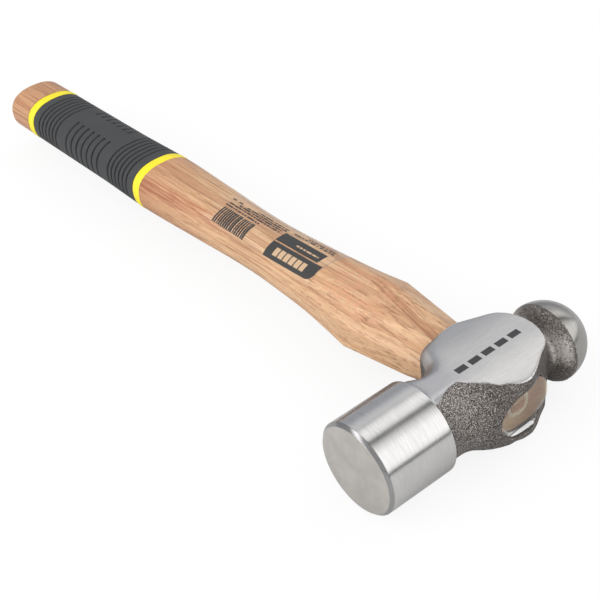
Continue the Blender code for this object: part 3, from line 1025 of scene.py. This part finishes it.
def steel_material():
    """Forged skin with a coarse sparkling grain, and ground surfaces with fine marks along their grinding."""
    n = new_material("forged_and_ground_steel")
    place = n.place()
    x, y, z = n.split(place)
    depth = n.node("Attribute", attribute_name="ground", output="Fac")
    ragged = n.times(n.add(n.noise(place, 900.0, 3.0, 0.6), -0.5), 0.9)
    on_ball = n.step(y, BALL_RIM_Y - 3 * MM, BALL_RIM_Y - 2 * MM)
    wander = n.times(ragged, n.add(n.times(on_ball, 0.8), 0.2))
    ground = n.step(n.add(depth, wander), -0.12, 0.12)

    # As forged: pitted grains about a quarter of a millimetre across, some of them bright facets. Painted
    # sheen:
    # the ball's flank and the side near the neck are painted brighter and less metallic, standing in for
    # highlights.
    drift = n.drift(place, 900.0, 0.35 * MM)
    warped = n.node("VectorMath", {0: place, 1: drift}, operation="ADD")
    cells = n.add_node("TexVoronoi", {"Vector": warped, "Scale": 4000.0}).outputs
    chance = n.split(cells["Color"])[0]
    grain = n.noise(place, 3100.0, 3.0, 0.6)
    blotches = n.noise(place, 160.0, 3.0, 0.6)
    flank_sheen_y = n.within(y, BODY_END_Y + 2 * MM, BALL_RIM_Y - 1 * MM, 2 * MM)
    flank_sheen = n.times(flank_sheen_y, n.within(z, 0.0, 11 * MM, 4 * MM))
    by_neck = n.step(y, 54 * MM, 42 * MM)
    painted_sheen = n.add(n.times(flank_sheen, 0.30), n.times(by_neck, 0.09), -0.03)
    tone = n.add(n.times(chance, 0.5), n.times(grain, 0.65), painted_sheen)
    forged_colour = n.ramp(
        tone,
        [
            (0.30, srgb(58, 53, 49)),
            (0.52, srgb(84, 78, 74)),
            (0.70, srgb(124, 118, 114)),
            (0.84, srgb(214, 210, 206)),
        ],
    )
    forged_colour = n.darken(n.times(blotches, 0.5), forged_colour, srgb(190, 182, 178))
    forged = n.surface(
        Base_Color=forged_colour,
        Metallic=n.add(n.times(flank_sheen, -0.4), 0.65),
        Roughness=n.add(n.times(tone, -0.12), 0.37),
        Normal=n.bump(n.add(grain, n.times(cells["Distance"], 0.8)), 0.12 * MM, 1.0),
    )

    # Ground: marks run along Y on the cheeks, and round Y on the poll and the ball.
    on_cheek = n.within(y, POLL_LENGTH + 1 * MM, BALL_NECK_Y, 0.5 * MM)
    off_cheek = n.add(1.0, n.times(on_cheek, -1.0))
    along_y = n.noise(n.scaled(place, (3400.0, 120.0, 3400.0)), 1.0, 3.0, 0.7)
    around_y = n.noise(n.scaled(place, (110.0, 3600.0, 110.0)), 1.0, 3.0, 0.7)
    marks = n.add(n.times(on_cheek, n.add(n.times(along_y, 0.6), 0.2)), n.times(off_cheek, around_y))
    haze = n.noise(place, 90.0, 4.0, 0.65)
    ground_colour = n.mix(n.step(marks, 0.25, 0.75), srgb(214, 213, 212), srgb(233, 232, 231))
    haze_colour = n.mix(haze, srgb(238, 238, 240), srgb(255, 254, 252))
    ground_colour = n.darken(1.0, ground_colour, haze_colour)
    ground_colour = n.darken(n.times(by_neck, on_cheek), ground_colour, srgb(236, 236, 240))
    on_dome = n.step(y, BALL_RIM_Y - 2 * MM, BALL_RIM_Y)
    ground_colour = n.darken(on_dome, ground_colour, srgb(204, 203, 200))
    on_face = n.step(y, 0.1 * MM, 0.0)
    ground_colour = n.darken(on_face, ground_colour, srgb(254, 250, 244))
    # Painted shade: the chamfer is darkened, standing in for the darker reflection it shows.
    chamfer = n.times(n.within(y, 0.15 * MM, FACE_CHAMFER + 0.1 * MM, 0.1 * MM), 0.75)
    ground_colour = n.darken(chamfer, ground_colour, srgb(176, 176, 178))
    dashes = n.times(
        n.dash_row(y, DASH_ROW_START_Y, DASH_ROW_END_Y, DASH_PITCH, DASH_LENGTH),
        n.within(x, DASH_LOW_X, DASH_HIGH_X, 0.12 * MM),
        n.step(z, 0.0, 1 * MM),
    )
    polished = n.surface(
        Base_Color=n.mix(dashes, ground_colour, srgb(58, 58, 60)),
        Metallic=n.add(1.0, n.times(dashes, -0.7)),
        Roughness=n.add(n.times(on_cheek, 0.05), n.times(haze, 0.08), 0.17),
        Anisotropic=0.75,
        Tangent=n.join(on_cheek, off_cheek, 0.0),
        Normal=n.bump(marks, 0.03 * MM, 0.6),
    )
    return n.finish(n.mix_shader(ground, forged, polished))


def ring_material():
    n = new_material("ring_wedge_steel")
    place = n.place()
    wear = n.noise(place, 500.0, 4.0, 0.6)
    return n.finish(n.surface(
        Base_Color=n.mix(wear, srgb(220, 230, 238), srgb(248, 252, 255)),
        Metallic=0.15,
        Roughness=n.add(n.times(wear, 0.2), 0.18),
        Normal=n.bump(n.noise(place, 900.0, 3.0), 0.08 * MM, 0.6),
    ))


def wood_parts(n):
    """Nodes every wood here shares: the place, the wandering growth lines, fine fibres and open pores."""
    place = n.place()
    slow = n.noise(n.scaled(place, (9.0, 45.0, 45.0)), 1.0, 2.0)
    x, y, z = n.split(place)
    bend = n.times(n.add(slow, -0.5), 9 * MM)
    away_y = n.add(y, PITH_AHEAD - EYE_Y, bend)
    away_z = n.add(z, PITH_UNDER, n.times(bend, 0.6))
    from_pith = n.math("SQRT", n.add(n.times(away_y, away_y), n.times(away_z, away_z)))
    lines = n.noise(n.join(n.times(x, 1.6), n.times(from_pith, 420.0), 0.0), 1.0, 3.0, 0.65)
    fibres = n.noise(n.scaled(place, (70.0, 2400.0, 2400.0)), 1.0, 3.0, 0.6)
    pores = n.noise(n.scaled(place, (190.0, 2600.0, 2600.0), (3.0, 5.0, 9.0)), 1.0, 1.0)
    return place, (x, y, z), lines, fibres, pores


def handle_wood_material():
    """Lacquered ash: pale tan with long brown lines, curl by the shoulder and warm streaks at the waist."""
    n = new_material("lacquered_ash")
    place, (x, y, z), lines, fibres, pores = wood_parts(n)
    side = n.add(y, -EYE_Y)
    colour = n.ramp(
        lines,
        [
            (0.28, srgb(172, 124, 86)),
            (0.40, srgb(200, 155, 115)),
            (0.50, srgb(212, 173, 134)),
            (0.64, srgb(225, 189, 150)),
        ],
    )
    thin = n.noise(n.scaled(place, (11.0, 1000.0, 1000.0)), 1.0, 4.0, 0.75, 0.4)
    thin_colour = n.ramp(thin, [(0.36, srgb(172, 144, 122)), (0.50, srgb(255, 254, 252))])
    colour = n.darken(0.8, colour, thin_colour)
    colour = n.darken(0.6, colour, n.mix(fibres, srgb(196, 180, 168), srgb(255, 255, 255)))

    # Brown stripes that run down beside the upper ridge, between the shoulder and the head.
    across_ridge = n.add(side, n.times(x, RIDGE_SLANT))
    stripes = n.noise(n.join(n.times(x, 14.0), n.times(across_ridge, 780.0), 0.0), 1.0, 3.0, 0.6)
    past_ridge = n.add(across_ridge, -SHOULDER_X * RIDGE_SLANT - 8 * MM)
    by_ridge = n.times(
        n.within(past_ridge, -6.5 * MM, -0.2 * MM, 0.5 * MM),
        n.within(x, -66 * MM, -10 * MM, 4 * MM),
        n.step(z, 2 * MM, 5 * MM),
        n.step(stripes, 0.44, 0.54),
    )
    colour = n.mix(by_ridge, colour, srgb(158, 108, 76))

    # Curled, redder grain round the shoulder.
    curl = n.noise(n.scaled(place, (420.0, 260.0, 260.0)), 1.0, 3.0, 0.6, 0.8)
    shoulder = n.times(
        n.within(x, -84 * MM, -46 * MM, 9 * MM),
        n.within(side, -14 * MM, 6 * MM, 5 * MM),
        n.step(curl, 0.42, 0.62),
        0.6,
    )
    colour = n.mix(shoulder, colour, srgb(200, 142, 108))

    # A red-brown streak ahead of the grip, low on the side that faces the striking face.
    streak_line = n.add(side, n.times(n.add(x, 190 * MM), -0.06))
    streak = n.times(
        n.within(streak_line, -14.5 * MM, -9.5 * MM, 1.6 * MM),
        n.within(x, -225 * MM, -150 * MM, 16 * MM),
        n.step(thin, 0.66, 0.40),
    )
    colour = n.mix(streak, colour, srgb(166, 106, 70))

    # The wood is redder and darker towards the butt.
    rear = n.step(x, -150 * MM, -225 * MM)
    colour = n.darken(rear, colour, srgb(232, 214, 204))

    pore = n.step(pores, 0.66, 0.74)
    colour = n.mix(n.times(pore, 0.6), colour, srgb(128, 84, 56))

    # Painted shade: the end grain in the eye is paler towards the striking face and darker away from it,
    # standing in for the shade in the eye.
    end_grain = n.mix(n.step(side, -9 * MM, 10 * MM), srgb(255, 240, 212), srgb(206, 174, 142))
    end_grain = n.darken(0.5, end_grain, n.mix(thin, srgb(170, 150, 140), srgb(255, 255, 250)))
    colour = n.mix(n.step(x, 9 * MM, 14 * MM), colour, end_grain)

    # Painted reflection: in rays mirrored by the polished head, the wood is painted darker and bluer.
    mirrored = n.node("LightPath", output="Is Glossy Ray")
    colour = n.darken(mirrored, colour, srgb(150, 156, 170))
    return n.finish(n.surface(
        Base_Color=colour,
        Roughness=n.add(n.times(fibres, 0.16), 0.38),
        Coat_Weight=0.2,
        Coat_Roughness=0.3,
        Normal=n.bump(n.add(fibres, n.times(pore, -0.8)), 0.05 * MM, 0.5),
    ))


def wedge_material():
    n = new_material("wedge_wood")
    _, _, lines, fibres, _ = wood_parts(n)
    colour = n.mix(lines, srgb(186, 140, 114), srgb(226, 184, 152))
    colour = n.darken(0.6, colour, n.mix(fibres, srgb(160, 140, 120), srgb(255, 255, 255)))
    return n.finish(n.surface(Base_Color=colour, Roughness=0.5, Normal=n.bump(fibres, 0.05 * MM, 0.5)))


def resin_material():
    """A glossy, slightly milky coat: nearly clear face on, and a mirror at a glance."""
    n = new_material("clear_resin")
    clear = n.node("BsdfTransparent", {"Color": srgb(250, 242, 230)})
    milk = n.node("BsdfDiffuse", {"Color": srgb(216, 206, 188)})
    gloss = n.node("BsdfGlossy", {"Color": grey(1.0), "Roughness": 0.06})
    body = n.mix_shader(n.shine(1.55, 0.5), clear, milk)
    normal_x, normal_y, _ = n.split(n.node("NewGeometry", output="Normal"))
    on_rim = n.times(n.step(normal_x, 0.90, 0.85), n.step(n.math("ABSOLUTE", normal_y), 0.40, 0.25))
    mirror = n.add(n.shine(1.55, 2.0), n.times(n.shine(1.55, 8.0), on_rim))
    return n.finish(n.mix_shader(mirror, body, gloss))


def rubber_material():
    """Dull charcoal rubber with a fine moulded grain."""
    n = new_material("charcoal_rubber")
    place = n.place()
    grain = n.noise(place, 1900.0, 3.0, 0.6)
    patches = n.noise(place, 60.0, 3.0, 0.6)
    groove = n.node("Attribute", attribute_name="groove", output="Fac")
    colour = n.mix(patches, srgb(50, 51, 53), srgb(66, 67, 69))
    # Painted shade: the grooves are painted near black, standing in for the shade inside them.
    colour = n.mix(n.step(groove, 0.05, 0.6), colour, srgb(16, 16, 17))
    colour = n.darken(0.4, colour, n.mix(grain, srgb(150, 150, 150), srgb(255, 255, 255)))
    return n.finish(n.surface(
        Base_Color=colour,
        Roughness=n.add(n.times(patches, 0.1), 0.5),
        Normal=n.bump(grain, 0.06 * MM, 0.7),
    ))


def yellow_material(name):
    n = new_material(f"{name}_yellow")
    place = n.place()
    patches = n.noise(place, 130.0, 3.0, 0.6)
    return n.finish(n.surface(
        Base_Color=n.mix(patches, srgb(226, 206, 16), srgb(238, 221, 34)),
        Roughness=n.add(n.times(patches, 0.1), 0.38),
        Normal=n.bump(n.noise(place, 1500.0, 2.0), 0.03 * MM, 0.5),
    ))


def film_material():
    """Clear film printed with plain panels, bars and rules."""
    n = new_material("printed_film")
    chart = n.node("UVMap", uv_map="label")
    u, v, _ = n.split(chart)

    def box(u_low, u_high, v_low, v_high, soft=0.12):
        return n.times(n.within(u, u_low, u_high, soft), n.within(v, v_low, v_high, soft))

    def broken(pitch, seed, share):
        """1 or 0 in cells of random ink along the label."""
        cell = n.math("FLOOR", n.math("DIVIDE", u, pitch))
        chance = n.node("TexWhiteNoise", {"W": n.add(cell, seed)}, noise_dimensions="1D")
        return n.math("LESS_THAN", chance, share)

    # The lower panel has one rounded corner.
    start, top, radius = 0.6, 12.4, 4.0
    corner_u = n.math("MAXIMUM", n.add(start + radius, n.times(u, -1.0)), 0.0)
    corner_v = n.math("MAXIMUM", n.add(v, radius - top), 0.0)
    corner = n.math("SQRT", n.add(n.times(corner_u, corner_u), n.times(corner_v, corner_v)))
    lower_panel = n.times(box(start, 33.0, 4.2, top), n.step(corner, radius + 0.1, radius - 0.1))
    upper_panel = box(5.0, 33.0, -2.6, 3.4)
    panels = n.math("MAXIMUM", lower_panel, upper_panel)
    inputs = {"W": u, "Scale": 0.6, "Detail": 2.0}
    chance = n.node("TexNoise", inputs, noise_dimensions="1D")
    bar = n.math("LESS_THAN", n.math("FLOORED_MODULO", u, 1.42), n.add(n.times(chance, 1.5), 0.25))
    bars = n.times(box(48.0, 70.5, 2.4, 11.6), bar)
    rules = 0.0
    for row, (low, high, height) in enumerate(SMALL_PRINT):
        line = n.times(box(low, high, height - 0.4, height + 0.4, 0.08), broken(0.62, 11.0 + 7.0 * row, 0.72))
        rules = n.math("MAXIMUM", rules, line)
    ink = n.math("MAXIMUM", n.math("MAXIMUM", panels, bars), rules)
    blocks = n.math("LESS_THAN", n.math("FLOORED_MODULO", u, 3.6), 2.9)
    strip = n.times(box(7.4, 28.6, 6.4, 10.4), blocks)
    strip = n.math("MAXIMUM", strip, n.times(box(7.0, 22.0, 0.4, 1.3), broken(0.55, 23.0, 0.7)))
    ink_colour = n.mix(strip, srgb(52, 51, 50), srgb(190, 160, 128))

    printed = n.surface(Base_Color=ink_colour, Roughness=0.35)
    clear = n.node("BsdfTransparent")
    gloss = n.node("BsdfGlossy", {"Color": grey(1.0), "Roughness": 0.22})
    bare = n.mix_shader(n.shine(1.4, 0.8), clear, gloss)
    return n.finish(n.mix_shader(ink, bare, printed))


def finish_piece(obj, material, node):
    """Gives a piece its material, and ties it to the frame."""
    obj.data.materials.clear()
    obj.data.materials.append(material)
    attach(obj, "root")
    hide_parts(node)


# ---- stage


def make_floor():
    size = 4.0
    level = cad_box[0][2]
    corners = [(-size, -size, level), (size, -size, level), (size, size, level), (-size, size, level)]
    floor = mesh_object("floor", corners, [(0, 1, 2, 3)])
    n = new_material("pale_floor")
    rays = n.add_node("LightPath").outputs
    matt = n.node("BsdfDiffuse", {"Color": grey(0.82)})
    glow = n.node("Emission", {"Color": grey(1.0), "Strength": 1.0})
    seen = n.mix_shader(0.86, matt, glow)
    dull = n.node("BsdfDiffuse", {"Color": grey(0.55)})
    floor.data.materials.append(n.finish(n.mix_shader(rays["Is Camera Ray"], dull, seen)))


def make_world():
    """A studio of long soft strips along Y, with a panel ahead of the face and one behind the ball."""
    n = Nodes(bpy.data.worlds.new("studio"))
    x, y, z = n.split(n.node("TexCoord", output="Generated"))
    turn = n.math("ARCTAN2", z, x)
    share = n.add(n.math("DIVIDE", turn, 2.0 * math.pi), 0.5)
    # (angle in degrees about Y from +X up over +Z, brightness, blueness)
    strips = [
        (-180, 0.30, 0.0),
        (-9, 0.10, 0.0),
        (5, 0.10, 0.0),
        (9, 1.15, 0.0),
        (20, 1.40, 0.0),
        (50, 1.35, 0.0),
        (64, 0.95, 0.0),
        (74, 0.55, 0.0),
        (79, 0.16, 0.0),
        (84, 0.18, 0.0),
        (90, 1.00, 0.0),
        (104, 1.20, 0.0),
        (118, 1.00, 0.0),
        (122, 0.45, 0.05),
        (126, 0.75, 0.05),
        (138, 0.70, 0.10),
        (154, 0.40, 0.30),
        (180, 0.40, 0.30),
    ]
    stops = []
    for angle, brightness, blueness in strips:
        colour = (brightness, brightness * (1.0 + 0.12 * blueness), brightness * (1.0 + 0.4 * blueness), 1.0)
        stops.append(((angle + 180.0) / 360.0, colour))
    rays = n.add_node("LightPath").outputs
    near_face = n.times(n.step(y, -0.35, -0.6), n.step(z, -0.1, 0.2))
    glint = n.times(n.within(turn, math.radians(118), math.radians(140), 0.06), FRONT_GLINT)
    level = n.add(glint, FRONT_MIRRORED)
    panel = n.node("CombineColor", {0: level, 1: level, 2: level})
    studio = n.ramp(share, stops)
    mirrored = n.mix(near_face, studio, panel)
    behind = n.times(n.step(y, 0.35, 0.6), n.step(z, -0.1, 0.2))
    diffused = n.mix(near_face, n.mix(behind, studio, grey(BACK_LIGHT)), grey(FRONT_LIGHT))
    light = n.mix(rays["Is Glossy Ray"], diffused, mirrored)
    seen_by_object = n.node("Background", {"Color": light, "Strength": 1.0})
    seen_by_camera = n.node("Background", {"Color": grey(1.0), "Strength": 1.0})
    camera_ray = rays["Is Camera Ray"]
    seen = n.mix_shader(camera_ray, seen_by_object, seen_by_camera)
    bpy.context.scene.world = n.finish(seen, "OutputWorld")


def make_camera():
    sin_az, cos_az = math.sin(CAMERA_AZIMUTH), math.cos(CAMERA_AZIMUTH)
    sin_el, cos_el = math.sin(CAMERA_ELEVATION), math.cos(CAMERA_ELEVATION)
    forward = Vector((-sin_az * cos_el, cos_az * cos_el, -sin_el))
    level_right = Vector((cos_az, sin_az, 0.0))
    level_up = level_right.cross(forward)
    right = level_right * math.cos(CAMERA_ROLL) + level_up * math.sin(CAMERA_ROLL)
    up = right.cross(forward)
    turn = Matrix((right, up, -forward)).transposed()
    data = bpy.data.cameras.new("camera")
    data.lens = CAMERA_LENS
    data.sensor_width = 36.0
    data.clip_start = 0.01
    camera = bpy.data.objects.new("camera", data)
    camera.matrix_world = Matrix.Translation(CAMERA_TARGET - forward * CAMERA_DISTANCE) @ turn.to_4x4()
    bpy.context.scene.collection.objects.link(camera)
    bpy.context.scene.camera = camera
    bpy.context.scene.view_settings.view_transform = "Standard"


def main():
    make_head()
    make_handle()
    make_wedges()
    make_sealant()
    make_sleeve()
    make_band("front_band")
    make_band("rear_band")
    make_film()
    make_floor()
    make_world()
    make_camera()


main()
